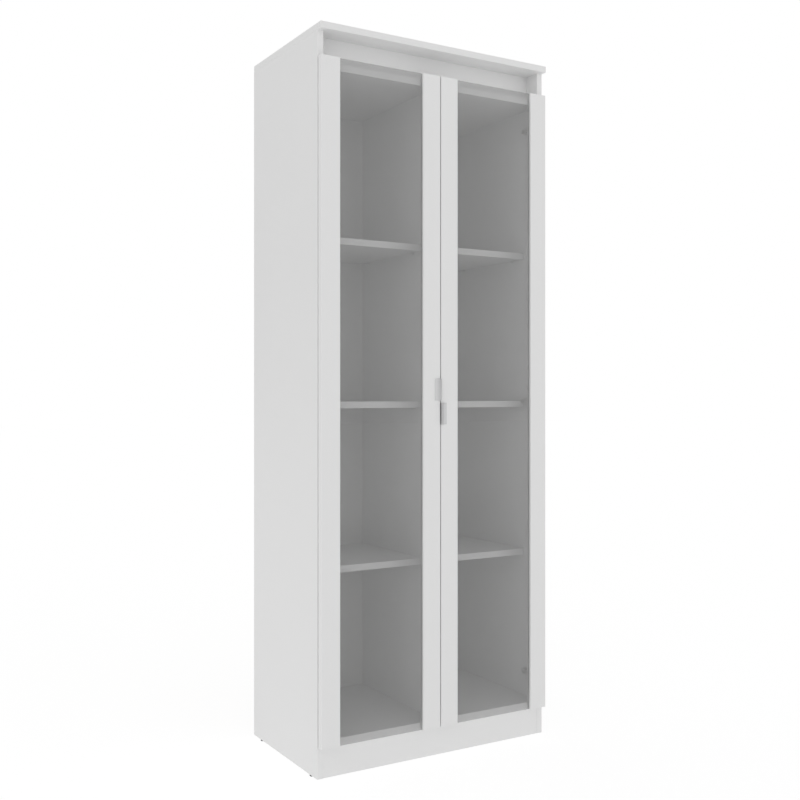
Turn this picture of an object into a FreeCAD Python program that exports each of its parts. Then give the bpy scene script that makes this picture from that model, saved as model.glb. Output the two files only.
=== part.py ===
import FreeCAD, Part
import math
import os

# Bookcase with two glass doors, in millimetres.
# X runs to the right, Y to the back, Z up. The doors face -Y and the glides stand on Z = 0.

V = FreeCAD.Vector

# ---- driving dimensions: carcass ----
width = 750.0
height = 2000.0
carcass_depth = 425.0
board = 18.0
edge_ease = 0.8
plinth_height = 82.0
plinth_setback = 1.5
frieze_height = 82.0
frieze_setback = 50.0
back_thickness = 3.0
back_rebate = 9.0
back_clearance = 0.5

# ---- driving dimensions: shelves and their pegs ----
shelf_count = 3
first_shelf_clear = 428.0
shelf_pitch = 449.5
shelf_setback = 67.0
shelf_side_clearance = 0.75
shelf_back_clearance = 2.0
peg_radius = 2.5
peg_in_board = 9.0
peg_under_shelf = 8.0
peg_edge_distance = 45.0
peg_row_offset = 10.0

# ---- driving dimensions: glides ----
glide_height = 5.0
glide_radius = 8.0
glide_stem_radius = 3.0
glide_stem = 12.0
glide_chamfer = 1.0
glide_front_distance = 46.0
glide_back_distance = 50.0

# ---- driving dimensions: doors ----
door_gap = 2.0
door_board = 18.0
door_side_reveal = 2.0
door_middle_gap = 3.0
door_above_plinth = 1.0
door_above_ceiling = 12.5
stile_width = 56.0
glass_thickness = 4.0
glass_setback = 7.0
glass_bite = 10.0
seal_wall = 1.0
seal_bottom = 2.0

# ---- driving dimensions: edge pulls ----
pull_length = 60.5
pull_spacing = 6.5
pull_web = 1.2
pull_proud = 8.0
pull_lip = 18.0
pull_feather = 0.8
pull_nose = 2.2
pull_groove = 1.0
pull_leaf = 14.0
pull_screw_spacing = 40.0
pull_screw_radius = 1.5
pull_screw_head = 2.6
pull_screw_length = 13.0

# ---- driving dimensions: cam fittings, dowels, screws and nails ----
cam_radius = 7.5
cam_depth = 13.0
cam_distance = 24.0
cam_slot = 7.6
cam_slot_play = 1.0
bolt_radius = 3.0
bolt_head_radius = 3.2
bolt_neck_radius = 2.0
bolt_head = 3.0
bolt_neck = 3.0
bolt_thread = 11.0
cam_front_distance = 60.0
cam_back_distance = 70.0
top_cam_offset = 18.0
dowel_radius = 4.0
dowel_length = 30.0
dowel_spacing = 50.0
divider_screw_radius = 2.5
divider_screw_head = 5.0
divider_screw_length = 50.0
divider_screw_distance = 70.0
nail_radius = 0.8
nail_head_radius = 2.0
nail_head = 0.6
nail_length = 16.0
nail_edge_distance = 60.0
nail_rows = 6

# ---- driving dimensions: concealed hinges ----
# Plan distances are measured from the outer face of the side panel (across)
# and from the front edge of the carcass (forward), with the door shut.
hinge_count = 3
hinge_end_distance = 95.0
cup_across = 24.0
cup_radius = 17.5
cup_depth = 13.0
cup_wall = 1.3
cup_flange = 1.0
cup_flange_radius = 18.5
cup_screw_spacing = 48.0
cup_screw_offset = 6.0
ear_radius = 5.0
arm_pivot = (36.5, 10.5)
cup_pivot = (15.6, 7.8)
pin_radius = 1.25
pin_play = 0.05
eye_radius = 2.5
link_half = 4.1
fork_half = 2.4
fork_reach = 6.0
nose_half = 2.2
nose_radius = 2.7
nose_foot = 12.0
trough_play = 0.3
cup_pin_half = 7.5
arm_half = 6.5
arm_sheet = 1.5
arm_top = 36.2
arm_lip = 12.0
arm_front = 3.0
arm_length = 54.0
saddle_half = 4.8
saddle_front = 24.0
saddle_length = 30.0
plate_thickness = 2.5
plate_front = 22.0
plate_length = 36.0
plate_half = 8.0
wing_half = 23.0
wing_width = 12.0
system_line = 37.0
plate_screw_spacing = 32.0
hinge_screw_radius = 1.75
hinge_screw_head = 3.4
cup_screw_head = 2.7
hinge_screw_length = 14.0
arm_screw_back = 46.0
arm_screw_radius = 2.0
arm_screw_head_radius = 3.5
arm_screw_head = 1.5
arm_screw_length = 12.0

# ---- places worked out from the dimensions ----
half = width / 2
inner = half - board
front_stack = pull_proud + door_board + door_gap
depth = carcass_depth + front_stack
carcass_front = -depth / 2 + front_stack
carcass_back = depth / 2
back_outside = carcass_back - nail_head
back_face = back_outside - back_thickness
door_back = carcass_front - door_gap
door_front = door_back - door_board
top_under = height - board
plinth_top = glide_height + plinth_height
floor_top = plinth_top + board
ceiling_top = top_under - frieze_height
ceiling_under = ceiling_top - board
door_low = plinth_top + door_above_plinth
door_high = ceiling_top + door_above_ceiling
door_width = (width - 2 * door_side_reveal - door_middle_gap) / 2
door_outer = -half + door_side_reveal
door_meet = door_outer + door_width
door_middle_z = (door_low + door_high) / 2


# ---- building blocks ----
def block(x0, x1, y0, y1, z0, z1):
    """A box between two corners."""
    return Part.makeBox(x1 - x0, y1 - y0, z1 - z0, V(x0, y0, z0))


def ring(sides, radius, centre, direction):
    """A closed polygon square to direction, its flats at radius and one of them facing up."""
    up = V(0, 1, 0) if abs(direction.z) > 0.5 else V(0, 0, 1)
    across = direction.cross(up)
    turn = 2 * math.pi / sides
    reach = radius / math.cos(turn / 2)
    corners = []
    for index in range(sides):
        angle = (index + 0.5) * turn
        corners.append(centre + up * (reach * math.cos(angle)) + across * (reach * math.sin(angle)))
    return Part.makePolygon(corners + corners[:1])


def bar(sides, radius, length, base, direction):
    """A straight bar with flats, from base along direction."""
    return Part.Face(ring(sides, radius, base, direction)).extrude(direction * length)


def taper(sides, radius, end_radius, length, base, direction):
    """A bar with flats that narrows or widens along direction."""
    start = ring(sides, radius, base, direction)
    end = ring(sides, end_radius, base + direction * length, direction)
    faces = [Part.Face(start), Part.Face(end)]
    near, far = start.Vertexes, end.Vertexes
    for index in range(sides):
        after = (index + 1) % sides
        corners = [near[index].Point, near[after].Point, far[after].Point, far[index].Point]
        faces.append(Part.Face(Part.makePolygon(corners + corners[:1])))
    solid = Part.Solid(Part.Shell(faces))
    return solid if solid.Volume > 0 else solid.reversed()


def eased_board(x0, x1, y0, y1, z0, z1, chosen):
    """A board with the chosen edges of its banding eased."""
    solid = block(x0, x1, y0, y1, z0, z1)
    edges = [edge for edge in solid.Edges if chosen(edge.CenterOfMass)]
    return solid.makeChamfer(edge_ease, edges)


def prism(points, z0, z1):
    """An upright prism over a closed outline of (x, y) points."""
    corners = [V(x, y, z0) for x, y in points]
    wire = Part.makePolygon(corners + corners[:1])
    return Part.Face(wire).extrude(V(0, 0, z1 - z0))


def mirrored(shapes):
    """The same pieces on the right-hand side."""
    return [shape.mirror(V(0, 0, 0), V(1, 0, 0)) for shape in shapes]


def cut_all(solid, tools):
    """A piece with all its bores and recesses."""
    return solid.cut(list(tools)).removeSplitter()


def save(name, shapes):
    """One node: a single piece, or a group of the same fastener."""
    solids = [solid for shape in shapes for solid in shape.Solids]
    shape = solids[0] if len(solids) == 1 else Part.makeCompound(solids)
    shape.exportStep("parts/" + name + ".step")


def countersunk(point, direction, radius, head_radius, length):
    """A flat-headed screw with its head's face at point, going in along direction."""
    head = taper(6, head_radius, radius, head_radius - radius, point, direction)
    return head.fuse(bar(6, radius, length, point, direction)).removeSplitter()


# ---- fittings that hold the carcass together ----
# The small fasteners repeat by the dozen, so they and their bores are drawn with flats.
def cam_joint(corner, inward, bore):
    """A cam lock in one board, and the bolt that stands in the other.

    corner is the bolt axis at the board's end, inward runs from there into the board that
    holds the cam, and bore points from the bolt axis to the face that the cam is set in.
    """
    centre = corner + inward * cam_distance
    mouth = centre + bore * (board / 2)
    cam = bar(8, cam_radius, cam_depth, mouth, bore * -1)
    reach = cam_distance - cam_radius
    thread_start = corner - inward * bolt_thread
    neck_start = corner + inward * reach
    head_start = neck_start + inward * bolt_neck
    slot = bar(4, cam_slot / 2, bolt_neck + bolt_head + cam_slot_play, neck_start, inward)
    bolt = bar(6, bolt_radius, reach + bolt_thread, thread_start, inward)
    bolt = bolt.fuse(bar(4, bolt_neck_radius, bolt_neck, neck_start, inward))
    bolt = bolt.fuse(bar(6, bolt_head_radius, bolt_head, head_start, inward))
    return {
        "cam": cut_all(cam, [slot]),
        "bolt": bolt.removeSplitter(),
        "cam_board": [cam, bar(4, cam_slot / 2, reach + bolt_neck, corner, inward)],
        "bolt_board": [bar(6, bolt_radius, bolt_thread, thread_start, inward)],
    }


cam_rows = [carcass_front + cam_front_distance, carcass_back - cam_back_distance]
cams = []
bolts = []
side_bores = []
floor_bores = []
ceiling_bores = []
top_bores = []
for y in cam_rows:
    for sign in (-1, 1):
        inward = V(-sign, 0, 0)
        floor_joint = cam_joint(V(sign * inner, y, floor_top - board / 2), inward, V(0, 0, -1))
        ceiling_joint = cam_joint(V(sign * inner, y, ceiling_top - board / 2), inward, V(0, 0, 1))
        top_corner = V(sign * (half - board / 2), y + top_cam_offset, top_under)
        top_joint = cam_joint(top_corner, V(0, 0, -1), inward)
        for joint in (floor_joint, ceiling_joint, top_joint):
            cams.append(joint["cam"])
            bolts.append(joint["bolt"])
        floor_bores += floor_joint["cam_board"]
        ceiling_bores += ceiling_joint["cam_board"]
        top_bores += top_joint["bolt_board"]
        if sign < 0:
            side_bores += floor_joint["bolt_board"] + ceiling_joint["bolt_board"]
            side_bores += top_joint["cam_board"]

# Dowels hold the ends of the frieze and of the plinth board, two at each end.
frieze_front = carcass_front + frieze_setback
plinth_front_face = carcass_front + plinth_setback
rail_middles = {
    "frieze": (frieze_front + board / 2, ceiling_top + frieze_height / 2),
    "plinth_front": (plinth_front_face + board / 2, glide_height + plinth_height / 2),
}
dowels = []
rail_bores = {}
for name, (y, z_middle) in rail_middles.items():
    rail_bores[name] = []
    for z in (z_middle - dowel_spacing / 2, z_middle + dowel_spacing / 2):
        start = V(-inner - dowel_length / 2, y, z)
        dowel = bar(6, dowel_radius, dowel_length, start, V(1, 0, 0))
        pair = [dowel] + mirrored([dowel])
        dowels += pair
        rail_bores[name] += pair
        side_bores.append(dowel)

# Screws up through the bottom panel and down through the ceiling panel hold the divider.
divider_screws = []
for y in (carcass_front + divider_screw_distance, carcass_back - divider_screw_distance):
    for z, direction in ((plinth_top, V(0, 0, 1)), (ceiling_top, V(0, 0, -1))):
        divider_screws.append(
            countersunk(
                V(0, y, z), direction, divider_screw_radius, divider_screw_head, divider_screw_length
            )
        )

# Shelf pegs: steel pins pushed into the uprights, with the shelves resting on their ends.
shelf_front = carcass_front + shelf_setback
shelf_back = back_face - shelf_back_clearance
peg_rows = [shelf_front + peg_edge_distance, shelf_back - peg_edge_distance]
shelf_unders = [floor_top + first_shelf_clear + index * shelf_pitch for index in range(shelf_count)]
pegs = {"left": [], "right": [], "divider": []}
for level in shelf_unders:
    for y in peg_rows:
        # The two bays' pegs would meet inside the divider, so the right bay's stand a little back.
        for upright_name, face, out, row in (
            ("left", -inner, 1, y),
            ("divider", -board / 2, -1, y),
            ("divider", board / 2, 1, y + peg_row_offset),
            ("right", inner, -1, y + peg_row_offset),
        ):
            start = V(face - out * peg_in_board, row, level - peg_radius)
            peg = bar(6, peg_radius, peg_in_board + peg_under_shelf, start, V(out, 0, 0))
            pegs[upright_name].append(peg)

# Glides: a plastic foot pressed into the underside of each side panel.
glides = []
glide_bores = []
for y in (carcass_front + glide_front_distance, carcass_back - glide_back_distance):
    x = -half + board / 2
    foot = taper(12, glide_radius - glide_chamfer, glide_radius, glide_chamfer, V(x, y, 0), V(0, 0, 1))
    body_height = glide_height - glide_chamfer
    body = bar(12, glide_radius, body_height, V(x, y, glide_chamfer), V(0, 0, 1))
    stem = bar(6, glide_stem_radius, glide_stem, V(x, y, glide_height), V(0, 0, 1))
    glide = foot.fuse([body, stem]).removeSplitter()
    glides += [glide] + mirrored([glide])
    glide_bores.append(stem)


# ---- concealed hinges, drawn on the left-hand side at height zero ----
def plan(across, forward, z=0.0):
    """A point given from the side panel's outer face and the carcass's front edge."""
    return V(-half + across, carcass_front - forward, z)


def outline(points, low, high):
    """An upright prism from plan points."""
    return prism([(plan(a, f).x, plan(a, f).y) for a, f in points], low, high)


def upright(radius, at, low, high):
    """An upright bar with six flats at a plan point."""
    return bar(6, radius, high - low, plan(at[0], at[1], low), V(0, 0, 1))


def half_ring(centre, radius, heading):
    """The rounded end of a link: plan points round a centre, from one side to the other."""
    points = []
    for step in (-3, -1, 1, 3):
        angle = heading + step * math.pi / 6
        points.append((centre[0] + radius * math.cos(angle), centre[1] + radius * math.sin(angle)))
    return points


def hinge_cup():
    """The cup, sunk in the stile, with its flange, screw ears and the trough for the link."""
    forward = V(0, -1, 0)
    face = door_gap - cup_flange
    body = bar(12, cup_radius, cup_depth, plan(cup_across, door_gap), forward)
    flange = bar(12, cup_flange_radius, cup_flange, plan(cup_across, face), forward)
    ear_across = cup_across + cup_screw_offset
    reach = cup_screw_spacing / 2
    ears = [bar(6, ear_radius, cup_flange, plan(ear_across, face, z), forward) for z in (-reach, reach)]
    left, right = ear_across - ear_radius, ear_across + ear_radius
    bridge = outline([(left, face), (right, face), (right, door_gap), (left, door_gap)], -reach, reach)
    trough_half = link_half + trough_play
    low_side, high_side = cup_across - cup_radius + cup_wall, cup_across + cup_radius - cup_wall
    trough_end = door_gap + cup_depth - cup_wall
    trough_corners = [(low_side, face), (high_side, face), (high_side, trough_end), (low_side, trough_end)]
    trough = outline(trough_corners, -trough_half, trough_half)
    pin = upright(pin_radius, cup_pivot, -cup_pin_half, cup_pin_half)
    screws = [
        countersunk(
            plan(ear_across, face, z), forward, hinge_screw_radius, cup_screw_head, hinge_screw_length
        )
        for z in (-reach, reach)
    ]
    cup = body.fuse([flange, bridge] + ears)
    return cut_all(cup, [trough, pin] + screws), body, pin, screws


def hinge_link():
    """The link from the arm's pivot to the cup's: one eye, and a fork that straddles the arm."""
    (x0, y0), (x1, y1) = cup_pivot, arm_pivot
    heading = math.atan2(y1 - y0, x1 - x0)
    points = half_ring(arm_pivot, eye_radius, heading)
    points += half_ring(cup_pivot, eye_radius, heading + math.pi)
    fork = upright(fork_reach, arm_pivot, -fork_half, fork_half)
    # The eyes' flats clear the corners of the pins.
    eye_bore = pin_radius / math.cos(math.pi / 6) + pin_play
    bores = [upright(eye_bore, eye, -link_half, link_half) for eye in (cup_pivot, arm_pivot)]
    return cut_all(outline(points, -link_half, link_half), [fork] + bores)


def hinge_arm():
    """The arm: a channel over the plate's saddle, with a solid nose that carries the pivot."""
    foot_left = arm_top - arm_lip / 2
    corners = half_ring(arm_pivot, nose_radius, math.pi / 2)
    corners += [
        (foot_left, -arm_front),
        (foot_left, -nose_foot),
        (arm_top, -nose_foot),
        (arm_top, -arm_front),
    ]
    nose = outline(corners, -nose_half, nose_half)
    low = arm_top - arm_lip
    back = -arm_front - arm_length
    under = arm_top - arm_sheet
    channel_corners = [(low, -arm_front), (arm_top, -arm_front), (arm_top, back), (low, back)]
    channel = outline(channel_corners, -arm_half, arm_half)
    inside_corners = [(low, -arm_front), (under, -arm_front), (under, back), (low, back)]
    inside = outline(inside_corners, -arm_half + arm_sheet, arm_half - arm_sheet)
    pin = upright(pin_radius, arm_pivot, -link_half, link_half)
    screw_at = plan(arm_top, -arm_screw_back)
    shank = bar(6, arm_screw_radius, arm_screw_length, screw_at, V(-1, 0, 0))
    head = bar(6, arm_screw_head_radius, arm_screw_head, screw_at, V(1, 0, 0))
    arm = cut_all(nose.fuse(channel.cut(inside)), [pin, shank])
    return arm, pin, shank.fuse(head).removeSplitter(), shank


def hinge_plate():
    """The mounting plate: a body and two wings on the side panel, and a saddle for the arm."""
    face = board
    top = face + plate_thickness
    back = -plate_front - plate_length
    body_corners = [(face, -plate_front), (top, -plate_front), (top, back), (face, back)]
    body = outline(body_corners, -plate_half, plate_half)
    wing_front = -system_line + wing_width / 2
    wing_back = -system_line - wing_width / 2
    wing_corners = [(face, wing_front), (top, wing_front), (top, wing_back), (face, wing_back)]
    wings = outline(wing_corners, -wing_half, wing_half)
    saddle_top = arm_top - arm_sheet
    saddle_back = -saddle_front - saddle_length
    saddle_corners = [
        (top, -saddle_front),
        (saddle_top, -saddle_front),
        (saddle_top, saddle_back),
        (top, saddle_back),
    ]
    saddle = outline(saddle_corners, -saddle_half, saddle_half)
    screws = [
        countersunk(
            plan(top, -system_line, z), V(-1, 0, 0), hinge_screw_radius, hinge_screw_head, hinge_screw_length
        )
        for z in (-plate_screw_spacing / 2, plate_screw_spacing / 2)
    ]
    return cut_all(body.fuse([wings, saddle]), screws), screws


cup, cup_bore, cup_pin, cup_screws = hinge_cup()
link = hinge_link()
arm, arm_pin, arm_screw, arm_screw_shank = hinge_arm()
plate, plate_screws = hinge_plate()
plate = cut_all(plate, [arm_screw_shank])

hinge_span = door_high - door_low - 2 * hinge_end_distance
hinge_levels = [
    door_low + hinge_end_distance + index * hinge_span / (hinge_count - 1) for index in range(hinge_count)
]


def at_hinges(shapes):
    """The same pieces at every hinge of the left door."""
    return [shape.translated(V(0, 0, z)) for z in hinge_levels for shape in shapes]


hinge_groups = {
    "hinge_cups": at_hinges([cup]),
    "hinge_cup_screws": at_hinges(cup_screws),
    "hinge_cup_pins": at_hinges([cup_pin]),
    "hinge_links": at_hinges([link]),
    "hinge_arms": at_hinges([arm]),
    "hinge_arm_pins": at_hinges([arm_pin]),
    "hinge_plates": at_hinges([plate]),
    "hinge_plate_screws": at_hinges(plate_screws),
    "hinge_arm_screws": at_hinges([arm_screw]),
}
side_bores += at_hinges(plate_screws)
stile_bores = at_hinges([cup_bore] + cup_screws)

# ---- nails that hold the back, along every board that it lies on ----
nails = []
back_low = plinth_top
back_high = top_under + back_rebate - back_clearance
nail_span = ceiling_top - plinth_top - 2 * nail_edge_distance
nail_columns = [-half + back_rebate + (board - back_rebate) / 2, -board / 4]
nail_places = []
for x in nail_columns:
    for index in range(nail_rows):
        nail_places.append((x, plinth_top + nail_edge_distance + index * nail_span / (nail_rows - 1)))
for z in (plinth_top + board / 2, ceiling_top - board / 2):
    for part in (1, 2):
        nail_places.append((-inner + part * (inner - board / 2) / 3, z))
for x, z in nail_places:
    start = V(x, carcass_back, z)
    nail = bar(4, nail_radius, nail_length, start, V(0, -1, 0))
    nail = nail.fuse(bar(6, nail_head_radius, nail_head, start, V(0, -1, 0))).removeSplitter()
    nails += [nail] + mirrored([nail])


# ---- boards ----
def side_panel(name):
    """A side panel; the left one is drawn, and the right one has its own peg bores."""
    sheet = eased_board(
        -half, -inner, carcass_front, carcass_back, glide_height, top_under,
        lambda centre: abs(centre.y - carcass_front) < 0.01 and abs(centre.x + half - board / 2) > 1,
    )
    rebate = block(-inner - back_rebate, -inner, back_face, carcass_back, glide_height, top_under)
    sheet = cut_all(sheet, [rebate] + side_bores + glide_bores + nails)
    if name == "right":
        sheet = mirrored([sheet])[0]
    return cut_all(sheet, pegs[name])


def level_board(low, high, bores):
    """The bottom or the ceiling panel, between the sides."""
    sheet = block(-inner, inner, carcass_front, back_face, low, high)
    return cut_all(sheet, bores + divider_screws + nails)


def rail(name, y, low, high):
    """A frieze or plinth board between the sides, on its dowels."""
    return cut_all(block(-inner, inner, y, y + board, low, high), rail_bores[name])


divider = block(-board / 2, board / 2, carcass_front, back_face, floor_top, ceiling_under)
divider = cut_all(divider, divider_screws + pegs["divider"] + nails)
top = eased_board(
    -half, half, door_front, carcass_back, top_under, height,
    lambda centre: abs(centre.y - door_front) < 0.01 or abs(abs(centre.x) - half) < 0.01,
)
top_rebate = block(
    -inner - back_rebate, inner + back_rebate, back_face, carcass_back, top_under, top_under + back_rebate
)
top = cut_all(top, [top_rebate] + top_bores)
back_outer = inner + back_rebate - back_clearance
back_left = block(-back_outer, 0, back_face, back_outside, back_low, back_high)
back_left = cut_all(back_left, nails)
back_right = mirrored([back_left])[0]


# ---- doors, drawn on the left ----
def stile(outer, bores):
    """An upright with eased edges and a groove for the glass along one edge."""
    sheet = eased_board(
        outer, outer + stile_width, door_front, door_back, door_low, door_high,
        lambda centre: abs(centre.z - door_middle_z) < 0.01,
    )
    return cut_all(sheet, bores)


groove_depth = glass_bite + seal_bottom
groove_front = door_front + glass_setback - seal_wall
groove_back = groove_front + glass_thickness + 2 * seal_wall
glass_left = door_outer + stile_width - glass_bite
glass_right = door_meet - stile_width + glass_bite
glass_front = door_front + glass_setback
glass_back = glass_front + glass_thickness
glass = block(glass_left, glass_right, glass_front, glass_back, door_low, door_high)
hinge_edge = door_outer + stile_width
meet_edge = door_meet - stile_width
hinge_groove = block(hinge_edge - groove_depth, hinge_edge, groove_front, groove_back, door_low, door_high)
meet_groove = block(meet_edge, meet_edge + groove_depth, groove_front, groove_back, door_low, door_high)
seals = [hinge_groove.cut(glass), meet_groove.cut(glass)]
hinge_stile = stile(door_outer, [hinge_groove] + stile_bores)


def edge_pull(low, high):
    """A pull hooked over the meeting edge: back leaf, web in the gap, and a scooped lip."""

    def at(onto, ahead):
        return V(door_meet - onto, door_front - ahead, low)

    # The lip's face is an arc that leaves the stile level and climbs to the nose.
    run = pull_lip - (pull_nose - pull_web)
    rise = pull_proud - pull_feather
    scoop = (run * run + rise * rise) / (2 * rise)
    turn = math.asin(run / scoop) / 2
    scoop_middle = at(pull_lip - scoop * math.sin(turn), pull_feather + scoop * (1 - math.cos(turn)))
    nose_top = at(pull_nose - pull_web, pull_proud)
    nose_side = at(-pull_web, pull_proud - pull_nose)
    lean = pull_nose * (1 - math.sqrt(0.5))
    nose_middle = at(-pull_web + lean, pull_proud - lean)
    groove_end = at(-pull_web, pull_web)
    groove_middle = at(-pull_web + pull_groove, (pull_proud - pull_nose + pull_web) / 2)
    rear = -door_board - pull_web
    corners = [
        groove_end,
        at(-pull_web, rear),
        at(pull_leaf, rear),
        at(pull_leaf, -door_board),
        at(0, -door_board),
        at(0, 0),
        at(pull_lip, 0),
        at(pull_lip, pull_feather),
    ]
    edges = [Part.LineSegment(a, b).toShape() for a, b in zip(corners, corners[1:])]
    edges.append(Part.Arc(corners[-1], scoop_middle, nose_top).toShape())
    edges.append(Part.Arc(nose_top, nose_middle, nose_side).toShape())
    edges.append(Part.Arc(nose_side, groove_middle, groove_end).toShape())
    body = Part.Face(Part.Wire(edges)).extrude(V(0, 0, high - low))
    middle = (low + high) / 2
    screws = [
        countersunk(
            V(door_meet - pull_leaf / 2, door_back + pull_web, z),
            V(0, -1, 0),
            pull_screw_radius,
            pull_screw_head,
            pull_screw_length,
        )
        for z in (middle - pull_screw_spacing / 2, middle + pull_screw_spacing / 2)
    ]
    return cut_all(body, screws), screws


# The left door's pull sits above the middle and the right door's below it,
# so that their webs can share the narrow gap.
upper_pull, upper_screws = edge_pull(
    door_middle_z + pull_spacing / 2, door_middle_z + pull_spacing / 2 + pull_length
)
lower_pull, lower_screws = edge_pull(
    door_middle_z - pull_spacing / 2 - pull_length, door_middle_z - pull_spacing / 2
)


def meeting_stile(screws):
    """The stile that carries the pull."""
    return stile(meet_edge, [meet_groove] + screws)


doors = {
    "left": {
        "hinge_stile": [hinge_stile],
        "meeting_stile": [meeting_stile(upper_screws)],
        "glass": [glass],
        "seals": seals,
        "pull": [upper_pull],
        "pull_screws": upper_screws,
    },
    "right": {
        "hinge_stile": mirrored([hinge_stile]),
        "meeting_stile": mirrored([meeting_stile(lower_screws)]),
        "glass": mirrored([glass]),
        "seals": mirrored(seals),
        "pull": mirrored([lower_pull]),
        "pull_screws": mirrored(lower_screws),
    },
}

# ---- every node ----
os.makedirs("parts", exist_ok=True)
save("side_panel_left", [side_panel("left")])
save("side_panel_right", [side_panel("right")])
save("top_panel", [top])
save("ceiling_panel", [level_board(ceiling_under, ceiling_top, ceiling_bores)])
save("bottom_panel", [level_board(plinth_top, floor_top, floor_bores)])
save("frieze_board", [rail("frieze", frieze_front, ceiling_top, top_under)])
save("plinth_front", [rail("plinth_front", plinth_front_face, glide_height, plinth_top)])
save("centre_divider", [divider])
save("back_panel_left", [back_left])
save("back_panel_right", [back_right])
for index, level in enumerate(shelf_unders, start=1):
    shelf_left, shelf_right = -inner + shelf_side_clearance, -board / 2 - shelf_side_clearance
    shelf = block(shelf_left, shelf_right, shelf_front, shelf_back, level, level + board)
    save("shelf_left_" + str(index), [shelf])
    save("shelf_right_" + str(index), mirrored([shelf]))
save("shelf_pegs", pegs["left"] + pegs["right"] + pegs["divider"])
save("cam_locks", cams)
save("cam_bolts", bolts)
save("dowels", dowels)
save("divider_screws", divider_screws)
save("back_nails", nails)
save("glides", glides)
for name, shapes in hinge_groups.items():
    save(name + "_left", shapes)
    save(name + "_right", mirrored(shapes))
for side, pieces in doors.items():
    for name, shapes in pieces.items():
        save("door_" + side + "_" + name, shapes)
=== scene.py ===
import math

import bpy
from mathutils import Matrix, Vector


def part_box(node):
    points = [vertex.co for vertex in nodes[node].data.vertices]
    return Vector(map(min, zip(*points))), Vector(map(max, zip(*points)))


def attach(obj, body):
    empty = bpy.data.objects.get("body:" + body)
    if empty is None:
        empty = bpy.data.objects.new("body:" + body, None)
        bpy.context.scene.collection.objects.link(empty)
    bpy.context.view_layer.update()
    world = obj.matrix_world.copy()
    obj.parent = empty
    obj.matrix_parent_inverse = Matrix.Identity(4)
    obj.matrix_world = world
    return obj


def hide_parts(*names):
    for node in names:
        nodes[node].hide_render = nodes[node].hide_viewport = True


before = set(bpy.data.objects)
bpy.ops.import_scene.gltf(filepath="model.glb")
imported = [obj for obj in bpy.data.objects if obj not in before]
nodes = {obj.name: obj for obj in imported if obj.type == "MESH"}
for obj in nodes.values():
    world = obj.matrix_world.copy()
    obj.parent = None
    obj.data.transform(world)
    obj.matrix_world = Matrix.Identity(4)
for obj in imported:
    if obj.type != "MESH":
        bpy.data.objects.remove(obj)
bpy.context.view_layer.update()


# ---- The camera ----
# A level camera at half the bookcase's height, to the left of its front, so that the left
# side panel and both doors show and every upright stays upright.
lens = bpy.data.cameras.new("camera")
lens.lens = 46.6
lens.sensor_width = 36.0
lens.shift_y = -0.0065
camera = bpy.data.objects.new("camera", lens)
camera.location = (-1.5866, -2.6520, 1.0194)
camera.rotation_euler = (math.radians(90.0), 0.0, math.radians(-30.85))
bpy.context.scene.collection.objects.link(camera)
bpy.context.scene.camera = camera
bpy.context.scene.view_settings.view_transform = "Standard"


# ---- The studio: a pale floor under an even white sky ----
# The floor is a large matt sheet. Seen directly, in a reflection or through the glass it is
# lifted to the white of the background and keeps a faint shadow of the bookcase. In reflections
# only, a painted reflection makes it a shade darker up to a soft edge that crosses it in front
# of the doors.
FLOOR_HALF = 30.0
SKY_EVEN = 0.418
SKY_FRONT = 0.49
SKY_FRONT_FROM = (0.0, -1.0, 0.0)
SKY_LEFT = 0.49
SKY_LEFT_FROM = (-0.98, 0.20, 0.0)
SKY_MIRRORED_SIDE = 0.40
SKY_MIRRORED_FROM = (0.546, -0.838, 0.0)
FLOOR_COLOUR = (0.80, 0.80, 0.80, 1.0)
FLOOR_LIGHT = 0.375
FLOOR_SEEN_SHARE = 0.16
FLOOR_SEEN_GLOW = 0.90
# The next five values place a painted reflection: a patch of floor that only reflections show darker, with
# soft edges.
FLOOR_EDGE_ACROSS = (0.717, 0.697, 0.0)
FLOOR_EDGE_FAR = -2.06
FLOOR_EDGE_NEAR = -1.35
FLOOR_PAINTED_REFLECTION_DARKER = -0.09
FLOOR_EDGE_FADES = (7.0, 2.0)


def wire(tree, pairs):
    """Joins sockets of a material or a group: each pair is (output, input)."""
    for start, end in pairs:
        tree.links.new(start, end)


def maths(tree, operation, *values):
    """A math node: each value is a number or a socket."""
    node = tree.nodes.new("ShaderNodeMath")
    node.operation = operation
    for place, value in enumerate(values):
        if isinstance(value, (int, float)):
            node.inputs[place].default_value = value
        else:
            wire(tree, [(value, node.inputs[place])])
    return node.outputs[0]


def along(tree, vector, direction):
    """How far a vector runs along a direction."""
    node = tree.nodes.new("ShaderNodeVectorMath")
    node.operation = "DOT_PRODUCT"
    node.inputs[1].default_value = direction
    wire(tree, [(vector, node.inputs[0])])
    return node.outputs["Value"]


def ramp(tree, value, start, end):
    """0 up to start and 1 from end, smooth between."""
    node = tree.nodes.new("ShaderNodeMapRange")
    node.interpolation_type = "SMOOTHSTEP"
    node.inputs["From Min"].default_value = start
    node.inputs["From Max"].default_value = end
    wire(tree, [(value, node.inputs["Value"])])
    return node.outputs["Result"]


def seen_directly(tree, path):
    """1 for rays that the viewer follows straight, by reflection or through glass."""
    first = maths(tree, "MAXIMUM", path.outputs["Is Camera Ray"], path.outputs["Is Glossy Ray"])
    return maths(tree, "MAXIMUM", first, path.outputs["Is Transmission Ray"])


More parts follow.
